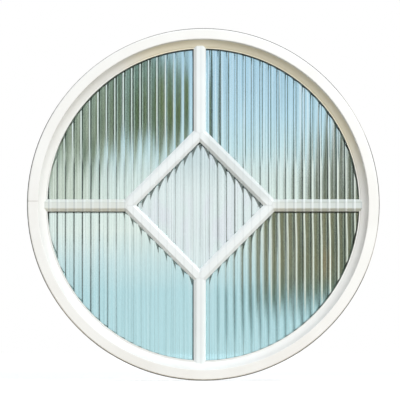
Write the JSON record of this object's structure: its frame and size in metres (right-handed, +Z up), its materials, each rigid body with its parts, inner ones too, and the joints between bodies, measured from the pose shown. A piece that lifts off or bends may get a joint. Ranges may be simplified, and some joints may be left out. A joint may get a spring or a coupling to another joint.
{
  "type": "round window",
  "caption": "Fixed round window: white painted ring with a hollow moulding, one sheet of reeded glass in a sealed unit, and a diamond lattice of bevelled bars.",
  "frame": {"origin": "centre of the ring, at half the depth of the frame", "axes": "+Z up, -Y towards the weather side with the reeded glass, +Y towards the room, along the ring's axis"},
  "size_m": [0.6023, 0.07, 0.6024],
  "materials": {
    "frame_paint": "satin white paint over timber",
    "bead_paint": "satin white paint over timber",
    "front_bar_paint": "satin white paint over timber",
    "rear_bar_paint": "satin white paint over timber",
    "inner_bar_coating": "white coated spacer bar",
    "reeded_glass": "upright convex reeds, glossy",
    "clear_glass": "plain float glass",
    "gasket_rubber": "black, matte",
    "seal_rubber": "dark grey, matte",
    "spacer_foam": "light grey, matte",
    "sealant": "black, dull",
    "bedding_sealant": "light grey silicone, dull",
    "block_plastic": "moulded, matte",
    "screw_steel": "bright, turned"
  },
  "bodies": {
    "root": {"bead_screws": "screw_steel", "clear_pane": "clear_glass", "edge_sealant": "sealant", "front_bar_bedding": "bedding_sealant", "front_bar_bottom": "front_bar_paint", "front_bar_left": "front_bar_paint", "front_bar_right": "front_bar_paint", "front_bar_top": "front_bar_paint", "front_diamond_lower_left": "front_bar_paint", "front_diamond_lower_right": "front_bar_paint", "front_diamond_upper_left": "front_bar_paint", "front_diamond_upper_right": "front_bar_paint", "front_gasket": "gasket_rubber", "glazing_bead_bottom": "bead_paint", "glazing_bead_left": "bead_paint", "glazing_bead_right": "bead_paint", "glazing_bead_top": "bead_paint", "inner_bar_bottom": "inner_bar_coating", "inner_bar_left": "inner_bar_coating", "inner_bar_right": "inner_bar_coating", "inner_bar_top": "inner_bar_coating", "inner_diamond_lower_left": "inner_bar_coating", "inner_diamond_lower_right": "inner_bar_coating", "inner_diamond_upper_left": "inner_bar_coating", "inner_diamond_upper_right": "inner_bar_coating", "location_block_left": "block_plastic", "location_block_right": "block_plastic", "location_block_top": "block_plastic", "outer_frame": "frame_paint", "perimeter_seal": "seal_rubber", "rear_bar_bedding": "bedding_sealant", "rear_bar_bottom": "rear_bar_paint", "rear_bar_left": "rear_bar_paint", "rear_bar_right": "rear_bar_paint", "rear_bar_top": "rear_bar_paint", "rear_diamond_lower_left": "rear_bar_paint", "rear_diamond_lower_right": "rear_bar_paint", "rear_diamond_upper_left": "rear_bar_paint", "rear_diamond_upper_right": "rear_bar_paint", "rear_gasket": "gasket_rubber", "reeded_pane": "reeded_glass", "setting_block_left": "block_plastic", "setting_block_right": "block_plastic", "spacer_ring": "spacer_foam"}
  },
  "joints": []
}
